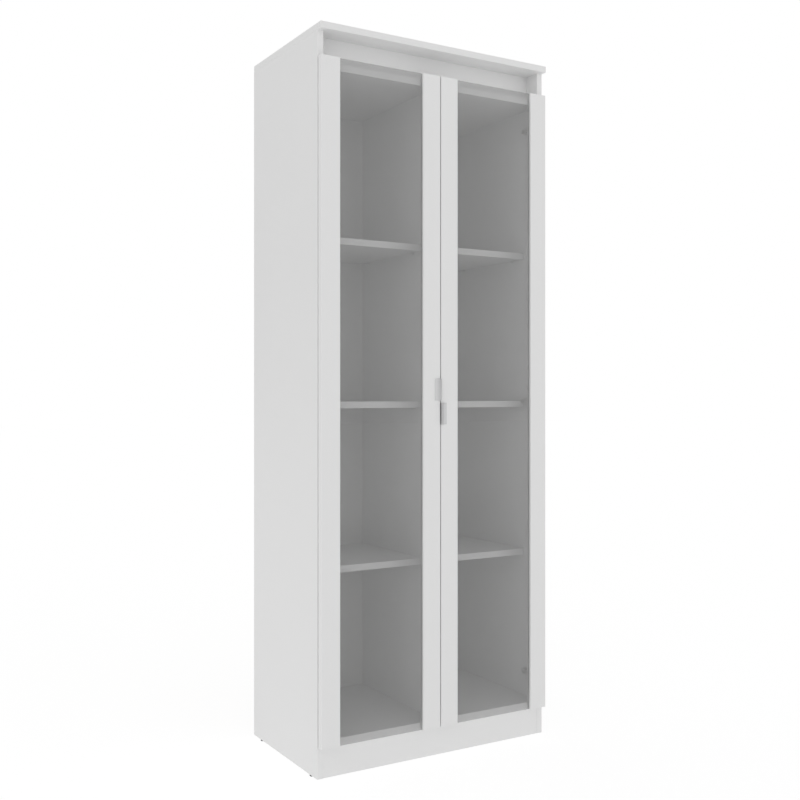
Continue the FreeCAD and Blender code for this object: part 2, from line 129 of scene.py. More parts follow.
# The sky lights the bookcase evenly, with a share from the front and one from the left. A camera
# and the glass see it white. Satin metal mirrors it white in front of the doors and greyer at the
# sides: its rays are glossy without being singular, as those of smooth glass are.
sky = bpy.data.worlds.new("even_white_sky")
sky.use_nodes = True
sky_tree = sky.node_tree
sky_tree.nodes.clear()
sky_path = sky_tree.nodes.new("ShaderNodeLightPath")
sky_direction = sky_tree.nodes.new("ShaderNodeTexCoord").outputs["Generated"]
sky_front = maths(sky_tree, "MAXIMUM", along(sky_tree, sky_direction, SKY_FRONT_FROM), 0.0)
sky_left = maths(sky_tree, "MAXIMUM", along(sky_tree, sky_direction, SKY_LEFT_FROM), 0.0)
sky_level = maths(sky_tree, "MULTIPLY_ADD", sky_front, SKY_FRONT, SKY_EVEN)
sky_light = sky_tree.nodes.new("ShaderNodeBackground")
sky_card = maths(sky_tree, "MAXIMUM", along(sky_tree, sky_direction, SKY_MIRRORED_FROM), 0.0)
sky_side = maths(sky_tree, "MULTIPLY_ADD", sky_card, 1.0 - SKY_MIRRORED_SIDE, SKY_MIRRORED_SIDE - 1.0)
sky_smooth = maths(sky_tree, "SUBTRACT", 1.0, sky_path.outputs["Is Singular Ray"])
sky_satin = maths(sky_tree, "MULTIPLY", sky_path.outputs["Is Glossy Ray"], sky_smooth)
sky_seen = sky_tree.nodes.new("ShaderNodeBackground")
sky_mix = sky_tree.nodes.new("ShaderNodeMixShader")
sky_out = sky_tree.nodes.new("ShaderNodeOutputWorld")
sky_light.inputs["Color"].default_value = (1.0, 1.0, 1.0, 1.0)
sky_seen.inputs["Color"].default_value = (1.0, 1.0, 1.0, 1.0)
wire(sky_tree, [
    (maths(sky_tree, "MULTIPLY_ADD", sky_left, SKY_LEFT, sky_level), sky_light.inputs["Strength"]),
    (maths(sky_tree, "MULTIPLY_ADD", sky_side, sky_satin, 1.0), sky_seen.inputs["Strength"]),
    (seen_directly(sky_tree, sky_path), sky_mix.inputs[0]),
    (sky_light.outputs[0], sky_mix.inputs[1]),
    (sky_seen.outputs[0], sky_mix.inputs[2]),
    (sky_mix.outputs[0], sky_out.inputs[0]),
])
bpy.context.scene.world = sky

bpy.ops.object.select_all(action="DESELECT")
bpy.ops.mesh.primitive_plane_add(size=2.0 * FLOOR_HALF, location=(0.0, 0.0, 0.0))
floor = bpy.context.active_object
floor.name = "studio_floor"
floor_material = bpy.data.materials.new("studio_floor_paint")
floor_material.use_nodes = True
floor_tree = floor_material.node_tree
floor_tree.nodes.clear()
floor_path = floor_tree.nodes.new("ShaderNodeLightPath")
floor_place = floor_tree.nodes.new("ShaderNodeTexCoord").outputs["Object"]
floor_across = along(floor_tree, floor_place, FLOOR_EDGE_ACROSS)
floor_near = ramp(floor_tree, floor_across, FLOOR_EDGE_FAR, FLOOR_EDGE_NEAR)
floor_fade = ramp(floor_tree, along(floor_tree, floor_place, (1.0, 0.0, 0.0)), *FLOOR_EDGE_FADES)
# Painted reflection: only glossy rays see this patch of floor darker, so metal and glass mirror a darker floor
# in front of the doors.
floor_painted_reflection_patch = maths(floor_tree, "MULTIPLY", floor_near, floor_fade)
floor_painted_reflection_darker = maths(floor_tree, "MULTIPLY", floor_painted_reflection_patch, FLOOR_PAINTED_REFLECTION_DARKER)
floor_diffuse = floor_tree.nodes.new("ShaderNodeBsdfDiffuse")
floor_diffuse.inputs["Color"].default_value = FLOOR_COLOUR
floor_seen = floor_tree.nodes.new("ShaderNodeBsdfDiffuse")
floor_seen.inputs["Color"].default_value = (FLOOR_SEEN_SHARE,) * 3 + (1.0,)
floor_glow = floor_tree.nodes.new("ShaderNodeEmission")
floor_add = floor_tree.nodes.new("ShaderNodeAddShader")
floor_light = floor_tree.nodes.new("ShaderNodeEmission")
floor_light.inputs["Strength"].default_value = FLOOR_LIGHT
floor_lit = floor_tree.nodes.new("ShaderNodeAddShader")
floor_mix = floor_tree.nodes.new("ShaderNodeMixShader")
floor_out = floor_tree.nodes.new("ShaderNodeOutputMaterial")
wire(floor_tree, [
    (
        maths(floor_tree, "MULTIPLY_ADD", floor_painted_reflection_darker, floor_path.outputs["Is Glossy Ray"], FLOOR_SEEN_GLOW),
        floor_glow.inputs["Strength"],
    ),
    (floor_seen.outputs[0], floor_add.inputs[0]),
    (floor_glow.outputs[0], floor_add.inputs[1]),
    (seen_directly(floor_tree, floor_path), floor_mix.inputs[0]),
    (floor_diffuse.outputs[0], floor_lit.inputs[0]),
    (floor_light.outputs[0], floor_lit.inputs[1]),
    (floor_lit.outputs[0], floor_mix.inputs[1]),
    (floor_add.outputs[0], floor_mix.inputs[2]),
    (floor_mix.outputs[0], floor_out.inputs[0]),
])
floor.data.materials.append(floor_material)


# ---- The white boards: sides, top, ceiling, bottom, frieze, plinth, divider, shelves, stiles ----
# Particle board of 18 mm faced with white melamine, which has a faint pearl from its press
# plate, and edge-banded in the same white. The boards are cut and bored at the factory.
BOARD_WHITE = (0.825, 0.825, 0.824)
BOARD_SHADE = (0.811, 0.811, 0.810)
PEARL_PER_METRE = 700.0
CLOUD_PER_METRE = 3.5


def new_group(name, inputs, outputs):
    """An empty shader node group with named sockets: name to (kind, default value)."""
    group = bpy.data.node_groups.new(name, "ShaderNodeTree")
    for label, (kind, value) in inputs.items():
        socket = group.interface.new_socket(name=label, in_out="INPUT", socket_type=kind)
        if value is not None:
            socket.default_value = value
    for label, kind in outputs.items():
        group.interface.new_socket(name=label, in_out="OUTPUT", socket_type=kind)
    return group, group.nodes.new("NodeGroupInput"), group.nodes.new("NodeGroupOutput")


def noise(tree, vector, scale, detail=2.0, roughness=0.5):
    """A noise texture read at vector."""
    texture = tree.nodes.new("ShaderNodeTexNoise")
    texture.inputs["Detail"].default_value = detail
    texture.inputs["Roughness"].default_value = roughness
    wire(tree, [(vector, texture.inputs["Vector"])])
    if isinstance(scale, float):
        texture.inputs["Scale"].default_value = scale
    else:
        wire(tree, [(scale, texture.inputs["Scale"])])
    return texture.outputs["Fac"]


# A fine grain over a surface with slow clouds under it: pressed facings, castings and mouldings
# differ only in its scale and strength.
grain_group, grain_in, grain_out = new_group(
    "surface_grain",
    {
        "Vector": ("NodeSocketVector", None),
        "Grain Scale": ("NodeSocketFloat", 700.0),
        "Cloud Scale": ("NodeSocketFloat", 4.0),
        "Roughness": ("NodeSocketFloat", 0.4),
        "Roughness Spread": ("NodeSocketFloat", 0.06),
    },
    {"Clouds": "NodeSocketFloat", "Height": "NodeSocketFloat", "Roughness": "NodeSocketFloat"},
)
grain_fine = noise(grain_group, grain_in.outputs["Vector"], grain_in.outputs["Grain Scale"], 3.0, 0.55)
grain_clouds = noise(grain_group, grain_in.outputs["Vector"], grain_in.outputs["Cloud Scale"], 4.0, 0.6)
grain_spread = grain_group.nodes.new("ShaderNodeMath")
grain_spread.operation = "MULTIPLY_ADD"
grain_centred = grain_group.nodes.new("ShaderNodeMath")
grain_centred.operation = "SUBTRACT"
grain_centred.inputs[1].default_value = 0.5
wire(grain_group, [
    (grain_clouds, grain_out.inputs["Clouds"]),
    (grain_fine, grain_out.inputs["Height"]),
    (grain_clouds, grain_centred.inputs[0]),
    (grain_centred.outputs[0], grain_spread.inputs[0]),
    (grain_in.outputs["Roughness Spread"], grain_spread.inputs[1]),
    (grain_in.outputs["Roughness"], grain_spread.inputs[2]),
    (grain_spread.outputs[0], grain_out.inputs["Roughness"]),
])


def new_material(name, **plain):
    """A material with a Principled shader, whose plain values are set on its own sockets."""
    material = bpy.data.materials.new(name)
    material.use_nodes = True
    shader = material.node_tree.nodes["Principled BSDF"]
    for label, value in plain.items():
        shader.inputs[label.replace("_", " ")].default_value = value
    return material, material.node_tree, shader


def object_coordinates(tree, stretch=(1.0, 1.0, 1.0)):
    """The piece's own coordinates in metres, stretched where the pattern runs one way."""
    coordinates = tree.nodes.new("ShaderNodeTexCoord")
    mapping = tree.nodes.new("ShaderNodeMapping")
    mapping.inputs["Scale"].default_value = stretch
    wire(tree, [(coordinates.outputs["Object"], mapping.inputs["Vector"])])
    return mapping.outputs["Vector"]


def use_group(tree, group, vector, **values):
    """A shared group placed in a material with this material's values."""
    node = tree.nodes.new("ShaderNodeGroup")
    node.node_tree = group
    for label, value in values.items():
        node.inputs[label.replace("_", " ")].default_value = value
    wire(tree, [(vector, node.inputs["Vector"])])
    return node


def two_colours(tree, factor, first, second):
    """A colour between two, by a factor that changes over the surface."""
    mix = tree.nodes.new("ShaderNodeMix")
    mix.data_type = "RGBA"
    mix.inputs["A"].default_value = tuple(first) + (1.0,)
    mix.inputs["B"].default_value = tuple(second) + (1.0,)
    mix.inputs["Factor"].default_value = 0.0
    wire(tree, [(factor, mix.inputs["Factor"])])
    return mix


def add_bump(tree, height, shader, distance, strength=1.0):
    """Gives the shader the relief of a height map, distance metres deep."""
    bump = tree.nodes.new("ShaderNodeBump")
    bump.inputs["Distance"].default_value = distance
    bump.inputs["Strength"].default_value = strength
    wire(tree, [(height, bump.inputs["Height"]), (bump.outputs["Normal"], shader.inputs["Normal"])])
    return bump


def dress(material, *names):
    """Puts a material on CAD nodes."""
    for name in names:
        piece = nodes[name]
        for index in range(len(piece.material_slots)):
            piece.material_slots[index].material = material


melamine, melamine_tree, melamine_shader = new_material("white_melamine_facing", Roughness=0.42, IOR=1.45)
melamine_grain = use_group(
    melamine_tree, grain_group, object_coordinates(melamine_tree),
    Grain_Scale=PEARL_PER_METRE, Cloud_Scale=CLOUD_PER_METRE, Roughness=0.42, Roughness_Spread=0.12,
)
melamine_colour = two_colours(melamine_tree, melamine_grain.outputs["Clouds"], BOARD_SHADE, BOARD_WHITE)
wire(melamine_tree, [
    (melamine_colour.outputs["Result"], melamine_shader.inputs["Base Color"]),
    (melamine_grain.outputs["Roughness"], melamine_shader.inputs["Roughness"]),
])
add_bump(melamine_tree, melamine_grain.outputs["Height"], melamine_shader, 0.000015, 0.5)
dress(
    melamine,
    "side_panel_left", "side_panel_right", "top_panel", "ceiling_panel", "bottom_panel",
    "frieze_board", "plinth_front", "centre_divider",
    "shelf_left_1", "shelf_left_2", "shelf_left_3", "shelf_right_1", "shelf_right_2", "shelf_right_3",
    "door_left_hinge_stile", "door_left_meeting_stile", "door_right_hinge_stile", "door_right_meeting_stile",
)


# ---- The cam locks: twelve, in the bottom, ceiling and side panels ----
# Cast zinc discs of 15 mm, pressed into blind bores, with a thin rim that hides the bore's edge.
# A cross driver turns each one on the head of its bolt and draws the two boards together.
CAM_RADIUS = 0.0075
CAM_DEEP = 0.0125
CAM_RIM_RADIUS = 0.0083
CAM_RIM_PROUD = 0.0002
CAM_RING = 0.0018
CAM_RING_DEEP = 0.0004
CAM_CROSS = (0.0088, 0.0015, 0.0026)
CAM_X = 0.333
CAM_ROWS = (-0.1385, 0.1565)
TOP_CAM_ROWS = (-0.1205, 0.1745)
TOP_CAM_UNDER_TOP = 0.024

panel_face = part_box("side_panel_right")[0][0]
bottom_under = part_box("bottom_panel")[0][2]
ceiling_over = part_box("ceiling_panel")[1][2]
top_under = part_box("side_panel_right")[1][2]


def only(piece):
    """Leaves one piece selected and active, in object mode."""
    if bpy.context.mode != "OBJECT":
        bpy.ops.object.mode_set(mode="OBJECT")
    bpy.ops.object.select_all(action="DESELECT")
    piece.select_set(True)
    bpy.context.view_layer.objects.active = piece


def added(name):
    """Names the primitive just added and puts its place and turn into its mesh."""
    piece = bpy.context.active_object
    piece.name = name
    piece.data.name = name
    only(piece)
    bpy.ops.object.transform_apply(location=True, rotation=True, scale=True)
    return piece


def round_bar(name, sides, radius, start, end):
    """A round bar between two points: the start of a turned piece, or a drill."""
    start, end = Vector(start), Vector(end)
    if bpy.context.mode != "OBJECT":
        bpy.ops.object.mode_set(mode="OBJECT")
    bpy.ops.object.select_all(action="DESELECT")
    bpy.ops.mesh.primitive_cylinder_add(
        vertices=sides, radius=radius, depth=(end - start).length, location=(start + end) / 2,
        rotation=(end - start).to_track_quat("Z", "Y").to_euler(),
    )
    return added(name)


def block(name, low, high, turn=0.0):
    """A block between two corners, turned about the upright through its middle."""
    low, high = Vector(low), Vector(high)
    if bpy.context.mode != "OBJECT":
        bpy.ops.object.mode_set(mode="OBJECT")
    bpy.ops.object.select_all(action="DESELECT")
    bpy.ops.mesh.primitive_cube_add(
        size=1.0, location=(low + high) / 2, rotation=(0.0, 0.0, turn), scale=high - low
    )
    return added(name)


def pick(piece, kind, wanted):
    """Opens a piece in edit mode with only the wanted faces or edges selected."""
    only(piece)
    bpy.ops.object.mode_set(mode="EDIT")
    bpy.ops.mesh.select_all(action="DESELECT")
    bpy.ops.mesh.select_mode(type="FACE" if kind == "faces" else "EDGE")
    bpy.ops.object.mode_set(mode="OBJECT")
    mesh = piece.data
    for part in mesh.polygons if kind == "faces" else mesh.edges:
        part.select = wanted(part)
    bpy.ops.object.mode_set(mode="EDIT")


def facing(direction):
    """A test for faces that look along a direction."""
    aim = Vector(direction)
    return lambda face: face.normal.dot(aim) > 0.99


def push(distance):
    """Extrudes the picked face by a vector."""
    bpy.ops.mesh.extrude_region_move(TRANSFORM_OT_translate={"value": distance})


def combine(piece, tool, operation="DIFFERENCE"):
    """Cuts a piece by a tool, or joins the two into one closed solid."""
    only(piece)
    change = piece.modifiers.new("combine", "BOOLEAN")
    change.operation = operation
    change.solver = "EXACT"
    change.object = tool
    bpy.ops.object.modifier_apply(modifier=change.name)
    bpy.data.objects.remove(tool)
    return piece


def soften(piece, width, segments=2, angle=35.0):
    """Rounds every sharp edge of a finished piece a little and shades it smooth."""
    only(piece)
    edges = piece.modifiers.new("soften", "BEVEL")
    edges.width = width
    edges.segments = segments
    edges.limit_method = "ANGLE"
    edges.angle_limit = math.radians(angle)
    bpy.ops.object.modifier_apply(modifier=edges.name)
    bpy.ops.object.shade_smooth_by_angle(angle=math.radians(angle))
    return piece


def moved(*place, turn=0.0, about="Z"):
    """A move to a place after a turn in degrees about an axis."""
    return Matrix.Translation(place) @ Matrix.Rotation(math.radians(turn), 4, about)


def set_of(pattern, name, moves):
    """One object of like pieces: a copy of the pattern, with its own mesh, at every move."""
    copies = []
    for move in moves:
        piece = pattern.copy()
        piece.data = pattern.data.copy()
        piece.data.transform(move)
        if move.determinant() < 0:
            piece.data.flip_normals()
        bpy.context.scene.collection.objects.link(piece)
        copies.append(piece)
    only(copies[0])
    for piece in copies:
        piece.select_set(True)
    bpy.ops.object.join()
    copies[0].name = name
    copies[0].data.name = name
    return copies[0]


def fit(piece, material, slot, body, *names):
    """Finishes a piece: its material, the body it moves with, the nodes it stands for. The slot is not used.
    """
    only(piece)
    shading = piece.modifiers.new("flat_faces_stay_flat", "WEIGHTED_NORMAL")
    shading.keep_sharp = True
    bpy.ops.object.modifier_apply(modifier=shading.name)
    piece.data.materials.clear()
    piece.data.materials.append(material)
    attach(piece, body)
    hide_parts(*names)


def metal(name, dark, light, roughness, spread, grain, clouds, depth):
    """A plated or cast metal: clouded in tone and sheen, with a fine relief."""
    material, tree, shader = new_material(name, Metallic=1.0, Roughness=roughness)
    surface = use_group(
        tree, grain_group, object_coordinates(tree),
        Grain_Scale=grain, Cloud_Scale=clouds, Roughness=roughness, Roughness_Spread=spread,
    )
    colour = two_colours(tree, surface.outputs["Clouds"], dark, light)
    wire(tree, [
        (colour.outputs["Result"], shader.inputs["Base Color"]),
        (surface.outputs["Roughness"], shader.inputs["Roughness"]),
    ])
    add_bump(tree, surface.outputs["Height"], shader, depth, 0.7)
    return material


cast_zinc = metal("cast_zinc", (0.42, 0.42, 0.43), (0.56, 0.56, 0.57), 0.46, 0.25, 2200.0, 160.0, 0.00003)
cam = round_bar("cam_lock", 40, CAM_RIM_RADIUS, (0.0, 0.0, 0.0), (0.0, 0.0, CAM_RIM_PROUD))
pick(cam, "faces", facing((0, 0, -1)))
bpy.ops.mesh.inset(thickness=CAM_RIM_RADIUS - CAM_RADIUS)
push((0.0, 0.0, -CAM_DEEP))
pick(cam, "faces", facing((0, 0, 1)))
bpy.ops.mesh.inset(thickness=CAM_RING)
bpy.ops.mesh.inset(thickness=CAM_RING_DEEP)
bpy.ops.transform.translate(value=(0.0, 0.0, -CAM_RING_DEEP))
long_way, short_way, deep_way = CAM_CROSS
for wide, tall in ((long_way, short_way), (short_way, long_way)):
    combine(cam, block("cam_cross", (-wide / 2, -tall / 2, -deep_way), (wide / 2, tall / 2, 0.001)))
soften(cam, 0.00008)
cam_moves = []
for side in (-1.0, 1.0):
    for row in CAM_ROWS:
        cam_moves.append(moved(side * CAM_X, row, bottom_under, turn=180.0, about="X"))
        cam_moves.append(moved(side * CAM_X, row, ceiling_over))
    for row in TOP_CAM_ROWS:
        height = top_under - TOP_CAM_UNDER_TOP
        cam_moves.append(moved(side * panel_face, row, height, turn=-side * 90.0, about="Y"))
cams = set_of(cam, "cam_lock_discs", cam_moves)
bpy.data.objects.remove(cam)
fit(cams, cast_zinc, "cast_zinc", "carcass", "cam_locks")


# ---- The cam bolts and the dowels: out of sight inside the joints ----
# The bolts are turned steel with bright zinc. The dowels are plain beech, 8 by 30 mm, and
# carry the ends of the frieze and of the plinth.
BEECH_DARK = (0.50, 0.33, 0.19)
BEECH_LIGHT = (0.66, 0.47, 0.29)

bright_zinc = metal(
    "bright_zinc_plate", (0.66, 0.67, 0.69), (0.78, 0.79, 0.80), 0.38, 0.16, 3000.0, 240.0, 0.00001
)
dress(bright_zinc, "cam_bolts")
beech, beech_tree, beech_shader = new_material("plain_beech", Roughness=0.6)
beech_grain = noise(beech_tree, object_coordinates(beech_tree, (0.12, 1.0, 1.0)), 1400.0, 5.0, 0.6)
beech_colour = two_colours(beech_tree, beech_grain, BEECH_DARK, BEECH_LIGHT)
wire(beech_tree, [(beech_colour.outputs["Result"], beech_shader.inputs["Base Color"])])
add_bump(beech_tree, beech_grain, beech_shader, 0.0001, 0.6)
dress(beech, "dowels")


# ---- The divider screws: two below and two above ----
# Countersunk steel screws of 5 by 50 mm with a cross recess. They are driven up through the
# bottom panel and down through the ceiling panel into the ends of the divider.
DIVIDER_SCREW = (0.0058, 0.0025, 0.050)
DIVIDER_SCREW_ROWS = (-0.1285, 0.1565)
DIVIDER_SCREW_PROUD = 0.0001


def recess(screw, top, reach, blade, deep):
    """Sinks a cross recess into a screw's head, whose face is at height top."""
    for turn in (0.0, math.pi / 2):
        combine(screw, block("recess", (-reach, -blade, top - deep), (reach, blade, top + 0.001), turn))


def flat_head_screw(name, head, shank, length):
    """A countersunk screw that points down from the origin, its head level with it."""
    cone = head - shank
    tip = 2.0 * shank
    screw = round_bar(name, 24, head, (0.0, 0.0, -cone), (0.0, 0.0, 0.0))
    pick(screw, "faces", facing((0, 0, -1)))
    bpy.ops.transform.resize(value=(shank / head, shank / head, 1.0))
    push((0.0, 0.0, -(length - cone - tip)))
    push((0.0, 0.0, -tip))
    bpy.ops.transform.resize(value=(0.15, 0.15, 1.0))
    recess(screw, 0.0, 0.62 * head, 0.12 * head, 0.5 * head)
    return soften(screw, 0.04 * shank, 1)


screw = flat_head_screw("divider_screw", *DIVIDER_SCREW)
screw_moves = []
for row in DIVIDER_SCREW_ROWS:
    screw_moves.append(moved(0.0, row, bottom_under - DIVIDER_SCREW_PROUD, turn=180.0, about="X"))
    screw_moves.append(moved(0.0, row, ceiling_over + DIVIDER_SCREW_PROUD))
divider_screws = set_of(screw, "divider_screw_set", screw_moves)
bpy.data.objects.remove(screw)
fit(divider_screws, bright_zinc, "zinc_steel", "carcass", "divider_screws")


# ---- The back: two sheets of thin hardboard that meet on the divider ----
# Fibre board of 3 mm, painted white on the side that the shelves see and left brown outside,
# where the pressed fibres show. It lies in a rebate and is nailed along every board.
BACK_WHITE = (0.79, 0.79, 0.785)
FIBRE_DARK = (0.20, 0.125, 0.07)
FIBRE_LIGHT = (0.34, 0.23, 0.14)
BACK_MIDDLE_Y = 0.2244

hardboard, hardboard_tree, hardboard_shader = new_material("hardboard_back", Roughness=0.6)
hardboard_grain = use_group(
    hardboard_tree, grain_group, object_coordinates(hardboard_tree),
    Grain_Scale=420.0, Cloud_Scale=9.0, Roughness=0.62, Roughness_Spread=0.2,
)
hardboard_fibres = noise(
    hardboard_tree, object_coordinates(hardboard_tree, (1.0, 1.0, 0.22)), 900.0, 4.0, 0.7
)
hardboard_brown = two_colours(hardboard_tree, hardboard_fibres, FIBRE_DARK, FIBRE_LIGHT)
hardboard_place = hardboard_tree.nodes.new("ShaderNodeSeparateXYZ")
hardboard_outside = hardboard_tree.nodes.new("ShaderNodeMath")
hardboard_outside.operation = "GREATER_THAN"
hardboard_outside.inputs[1].default_value = BACK_MIDDLE_Y
hardboard_sides = hardboard_tree.nodes.new("ShaderNodeMix")
hardboard_sides.data_type = "RGBA"
hardboard_sides.inputs["A"].default_value = BACK_WHITE + (1.0,)
wire(hardboard_tree, [
    (object_coordinates(hardboard_tree), hardboard_place.inputs[0]),
    (hardboard_place.outputs["Y"], hardboard_outside.inputs[0]),
    (hardboard_outside.outputs[0], hardboard_sides.inputs["Factor"]),
    (hardboard_brown.outputs["Result"], hardboard_sides.inputs["B"]),
    (hardboard_sides.outputs["Result"], hardboard_shader.inputs["Base Color"]),
    (hardboard_grain.outputs["Roughness"], hardboard_shader.inputs["Roughness"]),
])
add_bump(hardboard_tree, hardboard_fibres, hardboard_shader, 0.00006, 0.7)
dress(hardboard, "back_panel_left", "back_panel_right")


# ---- The back nails ----
# Short zinc-plated wire nails with flat heads, hammered through the hardboard into the edges
# of the sides, the divider, the bottom and the ceiling.
NAIL_HEAD_RADIUS = 0.0020
NAIL_HEAD = 0.0006
NAIL_RADIUS = 0.0008
NAIL_LENGTH = 0.016
NAIL_SIDE_X = 0.3615
NAIL_MIDDLE_X = 0.0045
NAIL_LEVELS = 6
NAIL_FROM_END = 0.060
NAIL_BOARD_X = (0.125, 0.241)

nail_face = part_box("back_nails")[1][1]
nail = round_bar("nail", 14, NAIL_HEAD_RADIUS, (0.0, -NAIL_HEAD, 0.0), (0.0, 0.0, 0.0))
pick(nail, "faces", facing((0, -1, 0)))
bpy.ops.mesh.inset(thickness=NAIL_HEAD_RADIUS - NAIL_RADIUS)
push((0.0, NAIL_HEAD + 2.0 * NAIL_RADIUS - NAIL_LENGTH, 0.0))
push((0.0, -2.0 * NAIL_RADIUS, 0.0))
bpy.ops.transform.resize(value=(0.2, 1.0, 0.2))
pick(nail, "faces", facing((0, 1, 0)))
bpy.ops.mesh.inset(thickness=0.0003)
bpy.ops.mesh.inset(thickness=0.0005)
bpy.ops.transform.translate(value=(0.0, -0.00012, 0.0))
bpy.ops.object.mode_set(mode="OBJECT")
bpy.ops.object.shade_smooth_by_angle(angle=math.radians(30.0))
nail_low = bottom_under + NAIL_FROM_END
nail_step = (ceiling_over - bottom_under - 2.0 * NAIL_FROM_END) / (NAIL_LEVELS - 1)
board_half = (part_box("ceiling_panel")[1][2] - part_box("ceiling_panel")[0][2]) / 2
nail_levels = [nail_low + index * nail_step for index in range(NAIL_LEVELS)]
nail_places = [(x, z) for x in (NAIL_SIDE_X, NAIL_MIDDLE_X) for z in nail_levels]
nail_places += [(x, z) for x in NAIL_BOARD_X for z in (bottom_under + board_half, ceiling_over - board_half)]
nails = set_of(nail, "back_nail_set", [
    moved(side * x, nail_face, z) for side in (-1.0, 1.0) for x, z in nail_places
])
bpy.data.objects.remove(nail)
fit(nails, bright_zinc, "zinc_steel", "carcass", "back_nails")


# ---- The glides: one near each corner, under the side panels ----
# Moulded black plastic feet of 16 mm with a rounded tread, a dished sole and a stem that is
# pressed up into the end of the panel.
GLIDE_RADIUS = 0.0080
GLIDE_STEM_RADIUS = 0.0030
GLIDE_STEM = 0.0120
GLIDE_X = 0.366
GLIDE_ROWS = (-0.1525, 0.1765)
PLASTIC_DARK = (0.012, 0.012, 0.013)
PLASTIC_LIGHT = (0.030, 0.030, 0.031)

glide_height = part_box("side_panel_left")[0][2]
moulding, moulding_tree, moulding_shader = new_material("black_moulding", Roughness=0.5)
moulding_surface = use_group(
    moulding_tree, grain_group, object_coordinates(moulding_tree),
    Grain_Scale=2600.0, Cloud_Scale=140.0, Roughness=0.5, Roughness_Spread=0.2,
)
moulding_colour = two_colours(moulding_tree, moulding_surface.outputs["Clouds"], PLASTIC_DARK, PLASTIC_LIGHT)
wire(moulding_tree, [
    (moulding_colour.outputs["Result"], moulding_shader.inputs["Base Color"]),
    (moulding_surface.outputs["Roughness"], moulding_shader.inputs["Roughness"]),
])
add_bump(moulding_tree, moulding_surface.outputs["Height"], moulding_shader, 0.00005, 0.8)

glide = round_bar("glide", 40, GLIDE_RADIUS, (0.0, 0.0, 0.0), (0.0, 0.0, glide_height))
pick(glide, "edges", lambda edge: all(glide.data.vertices[index].co.z < 0.0001 for index in edge.vertices))
bpy.ops.mesh.bevel(offset=0.0012, segments=4, affect="EDGES")
pick(glide, "faces", facing((0, 0, -1)))
bpy.ops.mesh.inset(thickness=0.0022)
bpy.ops.mesh.inset(thickness=0.0006)
bpy.ops.transform.translate(value=(0.0, 0.0, 0.0005))
pick(glide, "faces", facing((0, 0, 1)))
bpy.ops.mesh.inset(thickness=GLIDE_RADIUS - GLIDE_STEM_RADIUS)
push((0.0, 0.0, GLIDE_STEM))
soften(glide, 0.00015)
glides = set_of(glide, "glide_set", [
    moved(side * GLIDE_X, row, 0.0) for side in (-1.0, 1.0) for row in GLIDE_ROWS
])
bpy.data.objects.remove(glide)
fit(glides, moulding, "black_plastic", "carcass", "glides")


# ---- The shelf pegs: four under each shelf ----
# Turned steel pins of 5 mm with a thin collar, pushed into bores in the uprights. The shelves lie
# loose on them, and the right bay's stand 10 mm further back, so that two never meet.
PEG_RADIUS = 0.0025
PEG_IN_BOARD = 0.0090
PEG_OUT = 0.0080
PEG_COLLAR = 0.0005
PEG_COLLAR_RADIUS = 0.0034
PEG_ROWS = (-0.0865, 0.1759)
PEG_RIGHT_BACK = 0.0100

divider_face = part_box("centre_divider")[1][0]
peg = round_bar("shelf_peg", 28, PEG_COLLAR_RADIUS, (0.0, 0.0, 0.0), (PEG_COLLAR, 0.0, 0.0))
for way, length in ((1.0, PEG_OUT - PEG_COLLAR), (-1.0, PEG_IN_BOARD)):
    pick(peg, "faces", facing((way, 0, 0)))
    bpy.ops.mesh.inset(thickness=PEG_COLLAR_RADIUS - PEG_RADIUS)
    push((way * length, 0.0, 0.0))
soften(peg, 0.00015)
peg_moves = []
for level in (1, 2, 3):
    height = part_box("shelf_left_" + str(level))[0][2] - PEG_RADIUS
    for row in PEG_ROWS:
        peg_moves.append(moved(-panel_face, row, height))
        peg_moves.append(moved(-divider_face, row, height, turn=180.0))
        peg_moves.append(moved(divider_face, row + PEG_RIGHT_BACK, height))
        peg_moves.append(moved(panel_face, row + PEG_RIGHT_BACK, height, turn=180.0))
pegs = set_of(peg, "shelf_peg_set", peg_moves)
bpy.data.objects.remove(peg)
fit(pegs, bright_zinc, "zinc_steel", "carcass", "shelf_pegs")


# ---- The hinge plates: three on the inner face of each side panel ----
# Die-cast and nickel-plated, with a wing above and below and a saddle that the arm slides on.
# A countersunk screw through each wing holds the plate to the panel.
PLATE_THICK = 0.0025
PLATE_HALF = 0.0080
PLATE_BACK = (0.022, 0.058)
WING_REACH = 0.023
WING_RADIUS = 0.0060
SYSTEM_LINE = 0.037
SADDLE_TOP = 0.0167
SADDLE_HALF = 0.0048
SADDLE_BACK = (0.024, 0.054)
PLATE_SCREW_UP = 0.016
PLATE_SCREW = (0.0034, 0.00175, 0.014)
SINK_PLAY = 0.0003
CUP_REACH = 0.029
MIRROR = Matrix.Scale(-1.0, 4, (1.0, 0.0, 0.0))

carcass_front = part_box("bottom_panel")[0][1]
low_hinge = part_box("hinge_cups_left")[0][2] + CUP_REACH
high_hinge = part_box("hinge_cups_left")[1][2] - CUP_REACH
hinge_moves = [moved(0.0, 0.0, z) for z in (low_hinge, (low_hinge + high_hinge) / 2, high_hinge)]


def at_hinge(off, back, up=0.0):
    """A point of the left door's hinges: off the panel's face, back from the carcass's front."""
    return Vector((off - panel_face, carcass_front + back, up))


def hinge_pieces(pattern, material, slot, node, left_body, right_body):
    """The same piece at every hinge of the left door and, mirrored, of the right one."""
    for side, body, flip in (("left", left_body, Matrix.Identity(4)), ("right", right_body, MIRROR)):
        pieces = set_of(pattern, node + "_set_" + side, [flip @ move for move in hinge_moves])
        fit(pieces, material, slot, body, node + "_" + side)
    bpy.data.objects.remove(pattern)


